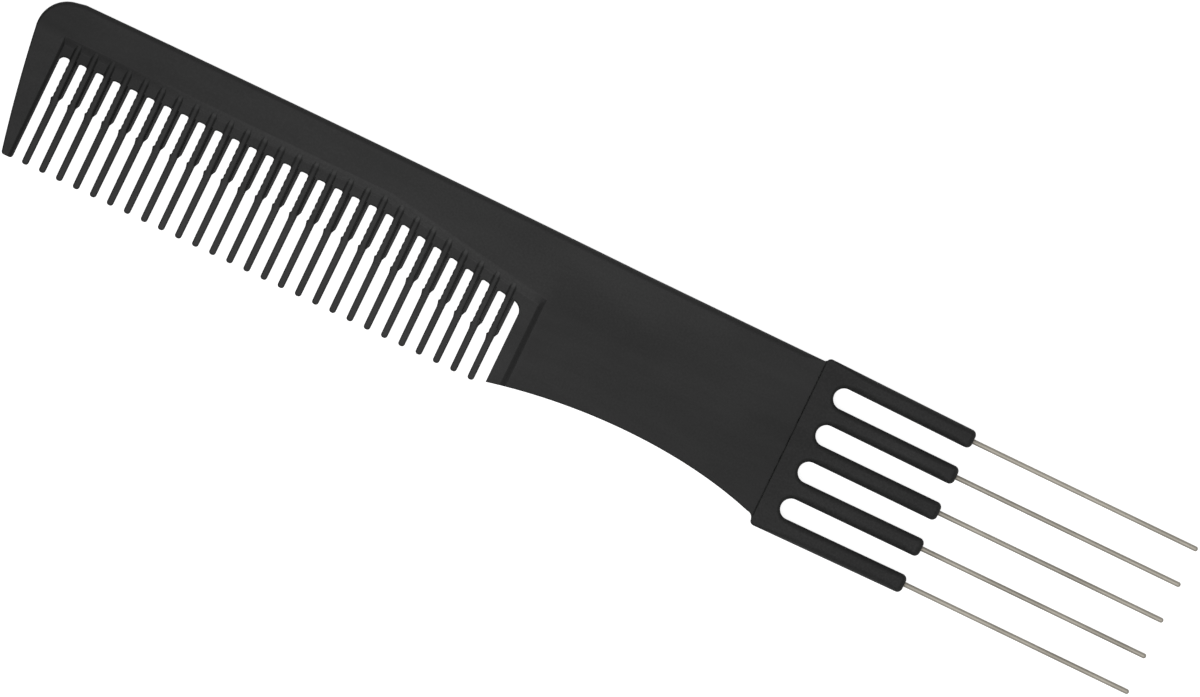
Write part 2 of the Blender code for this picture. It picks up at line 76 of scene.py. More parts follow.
def roundedCorner(before, corner, after, radius, steps):
    before, corner, after = Vector(before), Vector(corner), Vector(after)
    toBefore, toAfter = (before - corner).normalized(), (after - corner).normalized()
    halfAngle = toBefore.angle(toAfter) / 2
    centre = corner + (toBefore + toAfter).normalized() * (radius / math.sin(halfAngle))
    first = corner + toBefore * (radius / math.tan(halfAngle)) - centre
    sweep = math.pi - 2 * halfAngle
    if toBefore.x * toAfter.y - toBefore.y * toAfter.x > 0:
        sweep = -sweep
    return arcPoints(centre, radius, math.atan2(first.y, first.x), sweep, steps)


def withRound(points, first, last):
    # gives each point of an outline its edge round, which changes evenly along the stretch
    count = max(len(points) - 1, 1)
    return [(x, y, first + (last - first) * i / count) for i, (x, y) in enumerate(points)]


def insetOutline(rim, share):
    # moves each point inwards by a share of its own edge round
    moved = []
    for i, (x, y, edgeRound) in enumerate(rim):
        here = Vector((x, y))
        arriving = (here - Vector(rim[i - 1][:2])).normalized()
        leaving = (Vector(rim[(i + 1) % len(rim)][:2]) - here).normalized()
        inward = Vector((-arriving.y - leaving.y, arriving.x + leaving.x))
        moved.append(here + inward * edgeRound * share / (1 + arriving.dot(leaving)))
    return moved


def roundedRings(rim, halfThickness, steps):
    # outlines one above the other that round both edges of a plate over
    rings = []
    for side, order in ((-1, range(steps, -1, -1)), (1, range(steps + 1))):
        for step in order:
            angle = math.pi / 2 * step / steps
            drop = 1 - math.sin(angle)
            outline = insetOutline(rim, 1 - math.cos(angle))
            levels = [side * (halfThickness - edgeRound * drop) for x, y, edgeRound in rim]
            rings.append([(p.x, p.y, level) for p, level in zip(outline, levels)])
    return rings


# Modelling aids

mergeReach = 0.0000002            # points of an outline this close are one
sliverReach = 0.0000005           # thinner than this is a sliver
smoothAngle = math.radians(32)
flatFaceWeight = 100


def enterEdit(obj):
    bpy.ops.object.select_all(action="DESELECT")
    bpy.context.view_layer.objects.active = obj
    obj.select_set(True)
    bpy.ops.object.mode_set(mode="EDIT")


def leaveEdit():
    bpy.ops.object.mode_set(mode="OBJECT")
    bpy.ops.object.select_all(action="DESELECT")


def placeSelected(obj, ring):
    # each point knows its number along the outline, and keeps it through an extrude
    mesh = bmesh.from_edit_mesh(obj.data)
    number = mesh.verts.layers.int["number"]
    for vert in mesh.verts:
        if vert.select:
            vert.co = drawingOrigin + Vector(ring[vert[number]])
    bmesh.update_edit_mesh(obj.data)


def extrudedSolid(name, rings):
    # a filled circle takes the first outline's shape and is extruded from ring to ring
    bpy.ops.mesh.primitive_circle_add(vertices=len(rings[0]), radius=mm, fill_type="NGON")
    obj = bpy.context.object
    obj.name = obj.data.name = name
    enterEdit(obj)
    mesh = bmesh.from_edit_mesh(obj.data)
    number = mesh.verts.layers.int.new("number")
    for vert in mesh.verts:
        vert[number] = vert.index
    bpy.ops.mesh.select_all(action="SELECT")
    placeSelected(obj, rings[0])
    for ring in rings[1:]:
        bpy.ops.mesh.extrude_region_move()
        placeSelected(obj, ring)
    bpy.ops.mesh.select_all(action="SELECT")
    bpy.ops.mesh.remove_doubles(threshold=mergeReach)
    bpy.ops.mesh.normals_make_consistent(inside=False)
    leaveEdit()
    obj.data.attributes.remove(obj.data.attributes["number"])
    return obj


def joined(name, parts):
    bpy.ops.object.select_all(action="DESELECT")
    for part in parts:
        part.select_set(True)
    bpy.context.view_layer.objects.active = parts[0]
    bpy.ops.object.join()
    parts[0].name = parts[0].data.name = name
    bpy.ops.object.select_all(action="DESELECT")
    return parts[0]


def applyBoolean(obj, tool, operation):
    bpy.context.view_layer.objects.active = obj
    boolean = obj.modifiers.new("boolean", "BOOLEAN")
    boolean.operation = operation
    boolean.object = tool
    bpy.ops.object.modifier_apply(modifier=boolean.name)
    bpy.data.objects.remove(tool)


def mergeSlivers(obj):
    # takes out the slivers that a union leaves where faces nearly meet
    enterEdit(obj)
    bpy.ops.mesh.select_all(action="SELECT")
    bpy.ops.mesh.remove_doubles(threshold=sliverReach)
    bpy.ops.mesh.dissolve_degenerate(threshold=sliverReach)
    leaveEdit()


def finishPiece(obj, material, node):
    # smooth rounds with flat faces kept flat, then the finish and what the piece stands for
    bpy.ops.object.select_all(action="DESELECT")
    bpy.context.view_layer.objects.active = obj
    obj.select_set(True)
    bpy.ops.object.shade_smooth_by_angle(angle=smoothAngle)
    weighted = obj.modifiers.new("flat faces", "WEIGHTED_NORMAL")
    weighted.keep_sharp = True
    weighted.weight = flatFaceWeight
    bpy.ops.object.modifier_apply(modifier=weighted.name)
    obj.select_set(False)
    obj.data.materials.clear()
    obj.data.materials.append(material)
    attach(obj, "root")
    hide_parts(node)
    print(obj.name, "finished,", len(obj.data.polygons), "faces")


# Comb body

body = {
    "depth": 0.026045,            # spine to tooth tips
    "spineStep": 0.00072,         # the holder stands out past the spine by this
    "lowerStep": 0.00164,         # and past the lower edge by this
    "spineStraight": 0.03,        # from the seam back, then the spine bows out
    "spineBow": 0.00022,
    "spineFall": 0.00012,
    "noseLength": 0.0065,
    "noseDrop": 0.0013,
    "noseRound": 0.00495,
    "guardRootWidth": 0.00633,
    "guardTipWidth": 0.00177,
    "guardBow": 0.00021,
    "guardTipRound": 0.0005,
    "handleLength": 0.04532,      # right guard's inner side to the seam
    "seamGap": 0.0003,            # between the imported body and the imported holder
    "heelRise": 0.00071,
    "heelAngle": math.radians(13.3),
    "seamAngle": math.radians(16.8),
    "curveShare": 0.32,           # how far the lower edge keeps its end angles
    "spineFlare": 0.0005,
    "spineFlareAngle": math.radians(55),
    "lowerFlare": 0.0011,
    "lowerFlareAngle": math.radians(78),
    "thickness": 0.0032,
    "noseThickness": 0.0026,
    "spineRound": 0.001,
    "noseRoundOver": 0.0008,      # the spine's edge round goes to this at the nose
    "spineRoundRun": 0.003,
    "edgeRound": 0.0003,
    "innerRound": 0.00012,
    "seamRound": 0.00013,
    "cornerRound": 0.00002,       # of the two thin corners at the seam
    "cornerRun": 0.0007,
    "spineFlareRound": 0.00004,
    "lowerFlareRound": 0.00008,
    "seamReach": 0.00013,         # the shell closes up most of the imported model's gap at the seam
    "rootStandBack": 0.0003,      # the plate ends this far above the root line, and the web goes on
    # steps along the curved stretches and over the edge rounds
    "spineSteps": 24,
    "noseSteps": 20,
    "guardSteps": 12,
    "tipSteps": 6,
    "flareSteps": 8,
    "handleSteps": 40,
    "edgeSteps": 6,
}

teeth = {
    "count": 27,
    "pitch": 0.00286,             # between the first two
    "pitchGrowth": 0.0000029,     # from one to the next
    "firstGap": 0.00211,          # left guard to the first tooth's middle
    "lastGap": 0.00234,           # last tooth's middle to the right guard
    "length": 0.017376,
    "levelRoot": 0.05455,         # left guard to where the root line starts to fall
    "fallAngle": math.radians(8.75),
}


def toothMiddle(place):
    growth = place * (place - 1) / 2 * teeth["pitchGrowth"]
    return teeth["firstGap"] + place * teeth["pitch"] + growth


heelX = toothMiddle(teeth["count"] - 1) + teeth["lastGap"]
seamX = heelX + body["handleLength"]
holderX = seamX + body["seamGap"]
drawingOrigin = Vector((bodyHigh.x - seamX, 0, (holderLow.z + holderHigh.z) / 2))
fingerEndX = holderHigh.x - drawingOrigin.x
spineY = halfBand - body["spineStep"]
tipY = spineY - body["depth"]
rootY = tipY + teeth["length"]
lowerSeamY = body["lowerStep"] - halfBand
fallSlope = math.tan(teeth["fallAngle"])


def rootDrop(x):
    return max(x - teeth["levelRoot"], 0) * fallSlope


def flarePoints(y, side, radius, sweep):
    # the edge swings out towards the holder just before the seam
    startX = seamX + body["seamReach"] - radius * math.sin(sweep)
    steps = body["flareSteps"]
    angles = [sweep * step / steps for step in range(steps + 1)]
    return [(startX + radius * math.sin(a), y + side * radius * (1 - math.cos(a))) for a in angles]


def handleEdge(start, end):
    start, end = Vector(start), Vector(end)
    pull = (end - start).length * body["curveShare"]
    startPull = start + pull * Vector((math.cos(body["heelAngle"]), math.sin(body["heelAngle"])))
    endPull = end + pull * Vector((-math.cos(body["seamAngle"]), math.sin(body["seamAngle"])))
    curve = geometry.interpolate_bezier(start, startPull, endPull, end, body["handleSteps"])
    return [(p.x, p.y) for p in curve]


def bodyRim():
    # anticlockwise from the seam along the spine, round the nose and back along the root line
    spineLeft = (body["noseLength"] - body["guardRootWidth"], spineY - body["spineFall"])
    noseCorner = (-body["guardRootWidth"], spineLeft[1] - body["noseDrop"])
    tipOuter, tipInner = (-body["guardTipWidth"], tipY), (0, tipY)
    webY = rootY + body["rootStandBack"]
    roots = [(0, webY), (teeth["levelRoot"], webY), (heelX, webY - rootDrop(heelX))]
    heelTip = (heelX, tipY + body["heelRise"])

    spineFlare = flarePoints(spineY, 1, body["spineFlare"], body["spineFlareAngle"])[::-1]
    spineStart = (spineFlare[-1][0] - body["spineRoundRun"], spineY)
    bowStart = (seamX - body["spineStraight"], spineY)
    spine = [spineStart] + bowedLine(bowStart, spineLeft, body["spineBow"], body["spineSteps"])
    nose = roundedCorner(spineLeft, noseCorner, tipOuter, body["noseRound"], body["noseSteps"])
    tipRound, tipSteps = body["guardTipRound"], body["tipSteps"]
    outerTip = roundedCorner(noseCorner, tipOuter, tipInner, tipRound, tipSteps)
    innerTip = roundedCorner(tipOuter, tipInner, roots[0], tipRound, tipSteps)
    guard = bowedLine(nose[-1], outerTip[0], body["guardBow"], body["guardSteps"])[1:-1]
    lowerFlare = flarePoints(lowerSeamY, -1, body["lowerFlare"], body["lowerFlareAngle"])

    large, nosed, edge = body["spineRound"], body["noseRoundOver"], body["edgeRound"]
    inner, seam = body["innerRound"], body["seamRound"]
    # the edges of the seam's face are rounded, but not its two thin corners
    corner, endX = body["cornerRound"], seamX + body["seamReach"]
    rim = [(endX, spineFlare[0][1] - body["cornerRun"], seam)]
    rim += withRound(spineFlare, corner, body["spineFlareRound"])
    rim += withRound(spine, large, nosed)
    rim += withRound(nose, nosed, edge)
    rim += withRound(guard + outerTip, edge, edge)
    rim += withRound(innerTip, edge, inner)
    rim += withRound(roots, inner, inner)
    rim += withRound(handleEdge(heelTip, lowerFlare[0])[:-1], edge, edge)
    rim += withRound(lowerFlare, body["lowerFlareRound"], corner)
    rim += [(endX, lowerFlare[-1][1] + body["cornerRun"], seam)]
    return rim


def halfThicknessAt(x):
    # the plate thins from the right guard to the toothed end
    share = min(max((heelX - x) / (heelX + body["guardRootWidth"]), 0), 1)
    return (body["thickness"] + (body["noseThickness"] - body["thickness"]) * share) / 2


def makePlate():
    rings = roundedRings(bodyRim(), body["thickness"] / 2, body["edgeSteps"])
    plate = extrudedSolid("toothedBody", rings)
    enterEdit(plate)
    bpy.ops.mesh.select_all(action="SELECT")
    heelLine = drawingOrigin + Vector((heelX, 0, 0))
    bpy.ops.mesh.bisect(plane_co=heelLine, plane_no=(1, 0, 0))
    leaveEdit()
    for vert in plate.data.vertices:
        level = vert.co.z - drawingOrigin.z
        scale = 2 * halfThicknessAt(vert.co.x - drawingOrigin.x) / body["thickness"]
        vert.co.z = drawingOrigin.z + level * scale
    return plate


recess = {
    "floorHalf": 0.00079,
    # how far the floor reaches, and the width of the sloping wall round it
    "aboveRoot": 0.0016,
    "topSlope": 0.00138,
    "intoGuard": 0.00024,
    "guardSlope": 0.00046,
    "intoHeel": 0.0021,
    "heelSlope": 0.00095,
    "wallShares": (0, 0.1, 0.25, 0.4, 0.6, 0.75, 0.9, 1.12),
    "evenShare": 0.62,            # of the wall's rise that is even, the rest eases in and out
    "overrun": 0.001,
}


def recessOutline(share):
    lift = recess["aboveRoot"] + recess["topSlope"] * share
    left = -recess["intoGuard"] - recess["guardSlope"] * share
    right = heelX + recess["intoHeel"] + recess["heelSlope"] * share
    low = tipY - recess["overrun"]
    bend = lift * math.tan(teeth["fallAngle"] / 2)
    topY = rootY + lift / math.cos(teeth["fallAngle"])
    return [
        (left, low), (heelX, low), (right, low), (right, topY - rootDrop(right)),
        (heelX, topY - rootDrop(heelX)), (teeth["levelRoot"] + bend, rootY + lift),
        (left, rootY + lift),
    ]


def makeRecessTool(side):
    # the wall leaves the floor at a soft angle, steepens and eases off again at the top
    rings = []
    for share in recess["wallShares"]:
        capped = min(share, 1)
        eased = capped * capped * (3 - 2 * capped)
        height = recess["evenShare"] * share + (1 - recess["evenShare"]) * eased
        ring = []
        for x, y in recessOutline(share):
            rise = (halfThicknessAt(x) - recess["floorHalf"]) * height
            ring.append((x, y, side * (recess["floorHalf"] + rise)))
        rings.append(ring)
    rings.append([(x, y, z + side * recess["overrun"]) for x, y, z in rings[-1]])
    return extrudedSolid("recessTool", rings)


web = {
    "half": 0.0008,               # of its thickness
    "edgeRound": 0.00038,
    # from a tooth's middle: the web runs on into the tooth on both sides of a notch
    "stubLeft": 0.00055,
    "notchLeft": 0.0002,
    "notchRight": 0.00056,
    "stubRight": 0.00093,
    "stubDepth": 0.00055,
    "notchHeight": 0.0002,
    "gapRound": 0.0004,
    "guardGapRound": 0.0009,
    "heelGapRound": 0.0018,
    "sunk": 0.00003,              # how far the rounds at the guards start inside them
    "anchor": 0.0034,             # how far it runs up into the plate and into the right guard
    "cornerSteps": 8,
    "edgeSteps": 4,
}


def webRim():
    # anticlockwise from the left guard along the root line, then back inside the plate
    sunk, depth, reach = web["sunk"], web["stubDepth"], web["anchor"]
    line = []
    for place in range(teeth["count"]):
        middle = toothMiddle(place)
        lowY = rootY - rootDrop(middle + web["stubRight"]) - depth
        for x in (middle - web["stubLeft"], middle + web["stubRight"]):
            line.append(((x, lowY), (x, rootY - rootDrop(x))))
    guardLow, guardTop = (-sunk, rootY - 2 * depth), (-sunk, rootY)
    heelTop = (heelX + sunk, rootY - rootDrop(heelX))
    heelLow = (heelX + sunk, heelTop[1] - 3 * depth)

    def gap(before, corner, after, radius):
        points = roundedCorner(before, corner, after, radius, web["cornerSteps"])
        return withRound(points, web["edgeRound"], web["edgeRound"])

    def hidden(*points):
        return withRound(points, 0, 0)

    rim = hidden((-reach / 3, guardLow[1]), guardLow)
    rim += gap(guardLow, guardTop, line[0][1], web["guardGapRound"])
    for place in range(teeth["count"]):
        (leftLow, leftTop), (rightLow, rightTop) = line[2 * place:2 * place + 2]
        before = line[2 * place - 1][1] if place else guardTop
        middle = toothMiddle(place)
        notchLeft, notchRight = middle - web["notchLeft"], middle + web["notchRight"]
        notchY = rootY - rootDrop(middle) + web["notchHeight"]
        rim += gap(before, leftTop, leftLow, web["gapRound"])
        rim += hidden(leftLow, (notchLeft, leftLow[1]), (notchLeft, notchY), (notchRight, notchY))
        if place < teeth["count"] - 1:
            rim += hidden((notchRight, rightLow[1]), rightLow)
            rim += gap(rightLow, rightTop, line[2 * place + 2][1], web["gapRound"])
    rim += hidden((notchRight, rootY - rootDrop(notchRight)))
    rim += gap(line[-1][1], heelTop, heelLow, web["heelGapRound"])
    upperY, farX = rootY + reach, heelX + reach
    return rim + hidden(heelLow, (farX, heelLow[1]), (farX, upperY - rootDrop(farX)),
                        (teeth["levelRoot"], upperY), (-reach / 3, upperY))


def makeWeb():
    return extrudedSolid("web", roundedRings(webRim(), web["half"], web["edgeSteps"]))


# In millimetres from the tooth's middle and the root line
tooth = {
    # depth below the root line, then the upper half from the ledge's side over the groove and the
    # top to the left side, which the lower half mirrors
    "sections": (
        (-3.4, (
            (0.30, 0.66), (0.30, 0.68), (0.30, 0.70), (0.29, 0.73), (0.26, 0.78),
            (0.20, 0.88), (0.17, 0.95), (0.12, 1.06), (0.06, 1.13), (-0.02, 1.16),
            (-0.30, 1.16), (-0.38, 1.13), (-0.47, 1.02), (-0.54, 0.88), (-0.62, 0.77))),
        (-2.6, (
            (0.48, 0.66), (0.48, 0.68), (0.48, 0.70), (0.47, 0.74), (0.42, 0.80),
            (0.33, 0.90), (0.28, 0.98), (0.20, 1.12), (0.13, 1.19), (0.03, 1.22),
            (-0.30, 1.22), (-0.41, 1.19), (-0.52, 1.06), (-0.61, 0.90), (-0.74, 0.77))),
        (-0.4, (
            (0.54, 0.66), (0.54, 0.68), (0.54, 0.70), (0.52, 0.74), (0.46, 0.79),
            (0.37, 0.88), (0.32, 0.96), (0.23, 1.12), (0.16, 1.19), (0.05, 1.22),
            (-0.30, 1.22), (-0.41, 1.19), (-0.53, 1.06), (-0.63, 0.90), (-0.78, 0.77))),
        (-0.05, (
            (0.98, 0.68), (0.96, 0.75), (0.88, 0.78), (0.58, 0.78), (0.53, 0.74),
            (0.44, 0.58), (0.38, 0.58), (0.27, 1.07), (0.19, 1.17), (0.07, 1.21),
            (-0.30, 1.21), (-0.40, 1.19), (-0.49, 1.10), (-0.57, 0.98), (-0.62, 0.84))),
        (0.35, (
            (0.99, 0.66), (0.97, 0.74), (0.89, 0.785), (0.58, 0.785), (0.53, 0.68),
            (0.43, 0.22), (0.39, 0.22), (0.27, 1.05), (0.19, 1.17), (0.07, 1.21),
            (-0.29, 1.21), (-0.39, 1.19), (-0.48, 1.13), (-0.55, 1.06), (-0.59, 0.98))),
        (5.75, (
            (0.91, 0.58), (0.89, 0.66), (0.81, 0.70), (0.58, 0.70), (0.53, 0.60),
            (0.44, 0.22), (0.40, 0.22), (0.29, 1.00), (0.21, 1.12), (0.09, 1.16),
            (-0.29, 1.16), (-0.40, 1.14), (-0.49, 1.08), (-0.55, 1.01), (-0.59, 0.93))),
        (6.10, (
            (0.73, 0.52), (0.72, 0.57), (0.68, 0.60), (0.60, 0.62), (0.55, 0.57),
            (0.49, 0.42), (0.44, 0.42), (0.35, 1.01), (0.27, 1.10), (0.15, 1.15),
            (-0.28, 1.15), (-0.40, 1.13), (-0.48, 1.08), (-0.53, 1.01), (-0.56, 0.93))),
        (6.45, (
            (0.57, 0.20), (0.57, 0.35), (0.57, 0.50), (0.57, 0.63), (0.57, 0.74),
            (0.565, 0.84), (0.55, 0.93), (0.50, 1.03), (0.42, 1.10), (0.28, 1.14),
            (-0.28, 1.14), (-0.42, 1.10), (-0.52, 1.03), (-0.565, 0.95), (-0.57, 0.86))),
    ),
    # more sections at these depths, then six to each bead between two notches
    "upperDepths": (-3.4, -2.6, -1.5, -0.4, -0.2, -0.05, 0.15, 0.35, 0.6),
    "notches": (0.88, 1.97, 3.11, 4.13, 5.23, 6.05),
    "notchDepth": 0.06,
    "beadHeight": 0.09,
    "beadSteps": 6,
    "shoulderShare": 0.6,         # the point above a crest stands out by this share of it
    # reach of the barb-like nub beside the shaft, against the depth
    "nub": ((6.08, 0.0), (6.22, 0.08), (6.32, 0.19), (6.44, 0.2), (6.85, 0.08), (7.25, 0.0)),
    "shaftDepths": (7.3, 8.5, 10.5, 12.5, 14.5),
    "tipHalfWidth": 0.525,
    "tipHalf": 0.76,              # half of its thickness there
    "tipRound": 0.46,
    "tipSweep": math.radians(86),   # the round ends just short of a point
    "tipSteps": 7,
    "rootPart": 8.0,              # this much of the tooth follows the root line, the rest is level
    # the groove's floor lies between these from the middle, and gets shallower towards the heel
    "grooveSides": (0.36, 0.5),
    "grooveEnd": 6.2,
    "grooveTop": 0.64,            # the floor would rise to this height at a share of 1
    "grooveRise": 0.95,           # share at the heel
    "evenTeeth": 6,               # this many teeth from the left have the full depth
}


def sectionAt(depth):
    # the upper half between two of the given sections
    rows = tooth["sections"]
    if depth <= rows[0][0]:
        return rows[0][1]
    for (upper, first), (lower, second) in zip(rows, rows[1:]):
        if depth <= lower:
            share = (depth - upper) / (lower - upper)
            return tuple(Vector(p).lerp(Vector(q), share) for p, q in zip(first, second))
    return rows[-1][1]


def leftReach(depth):
    # beads between the notches of the left side, then the nub
    for upper, lower in zip(tooth["notches"], tooth["notches"][1:]):
        if upper <= depth < lower:
            bulge = abs(math.sin(math.pi * (depth - upper) / (lower - upper)))
            return tooth["beadHeight"] * bulge - tooth["notchDepth"]
    for (upper, first), (lower, second) in zip(tooth["nub"], tooth["nub"][1:]):
        if upper <= depth < lower:
            return first + (second - first) * (depth - upper) / (lower - upper)
    return 0


def toothSections():
    # depth and upper half of each section, down to the rounded tip
    depths, parts = list(tooth["upperDepths"]), tooth["beadSteps"]
    for upper, lower in zip(tooth["notches"], tooth["notches"][1:]):
        depths += [upper + (lower - upper) * part / parts for part in range(parts)]
    depths += [depth for depth, reach in tooth["nub"]]
    result = []
    for depth in depths:
        half = [tuple(p) for p in sectionAt(depth)]
        reach = leftReach(depth)
        half[-2] = (half[-2][0] - tooth["shoulderShare"] * reach, half[-2][1])
        half[-1] = (half[-1][0] - reach, half[-1][1])
        result.append((depth, half))

    startDepth, shaft = tooth["sections"][-1]
    tipRound, halfWidth, halfDepth = tooth["tipRound"], tooth["tipHalfWidth"], tooth["tipHalf"]
    endDepth = teeth["length"] / mm - tipRound
    narrow, thin = halfWidth / shaft[0][0], halfDepth / max(z for x, z in shaft)

    def scaledShaft(scaleX, scaleZ):
        return [(x * scaleX, z * scaleZ) for x, z in shaft]

    for depth in tooth["shaftDepths"] + (endDepth,):
        share = (depth - startDepth) / (endDepth - startDepth)
        result.append((depth, scaledShaft(1 + (narrow - 1) * share, 1 + (thin - 1) * share)))
    for step in range(1, tooth["tipSteps"] + 1):
        angle = tooth["tipSweep"] * step / tooth["tipSteps"]
        inset = tipRound * (1 - math.cos(angle))
        tip = scaledShaft(narrow * (1 - inset / halfWidth), thin * (1 - inset / halfDepth))
        result.append((endDepth + tipRound * math.sin(angle), tip))
    return result


def makeTooth():
    middle, rings = teeth["firstGap"], []
    for depth, half in toothSections():
        outline = half + [(x, -z) for x, z in reversed(half)]
        rings.append([(middle + x * mm, rootY - depth * mm, z * mm) for x, z in outline])
    return extrudedSolid("tooth", rings)


def raiseGroove(mesh, place):
    # moves the groove's floor up on one face and down on the other
    even = tooth["evenTeeth"]
    share = max(place + 1 - even, 0) / (teeth["count"] - even) * tooth["grooveRise"]
    near, far = (teeth["firstGap"] + side * mm for side in tooth["grooveSides"])
    top, endY = tooth["grooveTop"] * mm, rootY - tooth["grooveEnd"] * mm
    for vert in mesh.vertices:
        spot = vert.co - drawingOrigin
        if near < spot.x < far and spot.y > endY and abs(spot.z) < top:
            vert.co.z += math.copysign((top - abs(spot.z)) * share, spot.z)


def toothCopies(first, name):
    # the root part of each copy follows the root line, the tip stays level
    splitY = rootY - tooth["rootPart"] * mm
    copies = [first]
    for place in range(1, teeth["count"]):
        copy = first.copy()
        copy.data = first.data.copy()
        bpy.context.collection.objects.link(copy)
        raiseGroove(copy.data, place)
        step, drop = toothMiddle(place) - teeth["firstGap"], rootDrop(toothMiddle(place))
        for vert in copy.data.vertices:
            vert.co.x += step
            if vert.co.y - drawingOrigin.y > splitY:
                vert.co.y -= drop
        copies.append(copy)
    return joined(name, copies)


lock = {
    "length": 0.009,
    "thickness": 0.0012,
    "margin": 0.0012,             # handle left on both sides of the tongue
    "taper": 0.0023,
    "clearance": 0.0003,
    "overlap": 0.0005,            # the tongue starts this deep in the band
    "holeRadius": 0.0016,
    "holeY": 0.0060775,
    "holeSides": 48,
}


def makeTongue(name, clearance):
    # the holder's tongue, or the slot for it, with a round hole or post on each side
    topY = spineY - lock["margin"] + clearance
    lowY = lowerSeamY + lock["margin"] - clearance
    endX, rootX = holderX - lock["length"] - clearance, holderX + lock["overlap"]
    taper, half = lock["taper"], lock["thickness"] / 2 + clearance
    outline = [(rootX, topY), (endX, topY - taper), (endX, lowY + taper), (rootX, lowY)]
    tongue = extrudedSolid(name, [[(x, y, z) for x, y in outline] for z in (-half, half)])
    for side in (-1, 1):
        middle = drawingOrigin + Vector((holderX - lock["length"] / 2, side * lock["holeY"], 0))
        bpy.ops.mesh.primitive_cylinder_add(
            vertices=lock["holeSides"], radius=lock["holeRadius"] - clearance, depth=4 * half,
            location=middle)
        applyBoolean(tongue, bpy.context.object, "DIFFERENCE")
    return tongue


def makeToothedBody():
    plate = makePlate()
    for side in (-1, 1):
        applyBoolean(plate, makeRecessTool(side), "DIFFERENCE")
    applyBoolean(plate, makeWeb(), "UNION")
    applyBoolean(plate, toothCopies(makeTooth(), "allTeeth"), "UNION")
    applyBoolean(plate, makeTongue("tongueSlot", lock["clearance"]), "DIFFERENCE")
    mergeSlivers(plate)
    return plate


# Prong holder

holder = {
    "bandLength": 0.00303,
    "cornerRound": 0.0007,
    "fingerCount": 5,
    "fingerWidth": 0.00293,
    "bandShoulder": 0.00013,      # the band stands out past the outer fingers by this
    "fingerClosing": 0.00012,     # the fingers' pitch shrinks by this towards their ends
    "fingerTipRound": 0.00085,
    "fingerEndEdge": 0.0008,      # edge round at a finger's end
    "fingerUpperEdge": 0.00095,   # the same along its side towards the spine
    "fingerLowerEdge": 0.0013,    # and towards the teeth
    "edgeRun": 0.0016,            # the end's edge round grows to the side's over this
    "slotEdge": 0.0005,
    "bandEdge": 0.0003,
    "seamRound": 0.00013,
    "seamReach": 0.00015,
    "boreRadius": 0.00045,
    "boreRootWall": 0.001,
    "boreOverrun": 0.001,
    "boreSides": 32,
    "cornerSteps": 8,
    "slotSteps": 28,
    "edgeSteps": 8,
}

middleFinger = (holder["fingerCount"] - 1) / 2
rootPitch = (halfBand - holder["bandShoulder"] - holder["fingerWidth"] / 2) / middleFinger
tipPitch = rootPitch - holder["fingerClosing"]


def fingerMiddle(index, x):
    share = (x - holderX - holder["bandLength"]) / (fingerEndX - holderX - holder["bandLength"])
    return (index - middleFinger) * (rootPitch + (tipPitch - rootPitch) * share)


def slotArc(index):
    slotWidth = rootPitch - holder["fingerWidth"]
    x = holderX + holder["bandLength"] + slotWidth / 2
    low = fingerMiddle(index, x) + holder["fingerWidth"] / 2
    high = fingerMiddle(index + 1, x) - holder["fingerWidth"] / 2
    centre, radius = (x, (low + high) / 2), (high - low) / 2
    return arcPoints(centre, radius, -math.pi / 2, -math.pi, holder["slotSteps"])


def sidePoints(start, end, fromStart, fromEnd):
    # points of a finger's side, at the given distances from its two ends
    start, end = Vector(start), Vector(end)
    along = (end - start).normalized()
    return [tuple(start + along * fromStart), tuple(end - along * fromEnd)]


def holderRim():
    halfFinger, rearX = holder["fingerWidth"] / 2, holderX - holder["seamReach"]
    rearTop, rearLow = (rearX, halfBand), (rearX, -halfBand)
    middles = [fingerMiddle(index, fingerEndX) for index in range(holder["fingerCount"])]
    corners = [((fingerEndX, y - halfFinger), (fingerEndX, y + halfFinger)) for y in middles]
    cornerRound, tipRound = holder["cornerRound"], holder["fingerTipRound"]
    steps = holder["cornerSteps"]
    topCorner = roundedCorner(corners[-1][1], rearTop, rearLow, cornerRound, steps)
    lowCorner = roundedCorner(rearTop, rearLow, corners[0][0], cornerRound, steps)

    band, seam, run = holder["bandEdge"], holder["seamRound"], holder["edgeRun"]
    upper, lower = holder["fingerUpperEdge"], holder["fingerLowerEdge"]
    end, slot = holder["fingerEndEdge"], holder["slotEdge"]
    rim = withRound(topCorner, band, seam) + withRound(lowCorner, seam, band)
    # on the two outer sides the band's edge round grows to the finger's over this length
    outerRun = 2 * holder["bandLength"]
    for index, (low, high) in enumerate(corners):
        isFirst, isLast = index == 0, index == len(corners) - 1
        arc = [] if isLast else slotArc(index)
        before, after = rim[-1][:2], topCorner[0] if isLast else arc[0]
        tip = roundedCorner(before, low, high, tipRound, steps)
        otherTip = roundedCorner(low, high, after, tipRound, steps)
        lowerSide = sidePoints(before, tip[0], outerRun if isFirst else run, run)
        upperSide = sidePoints(otherTip[-1], after, run, outerRun if isLast else run)
        rim += withRound(lowerSide, lower, lower)
        rim += withRound(tip + otherTip, end, end)
        rim += withRound(upperSide, upper, upper)
        if not isLast:
            middle = len(arc) // 2
            rim += withRound(arc[:middle], (upper + slot) / 2, slot)
            rim += withRound(arc[middle:], slot, (lower + slot) / 2)
    return rim


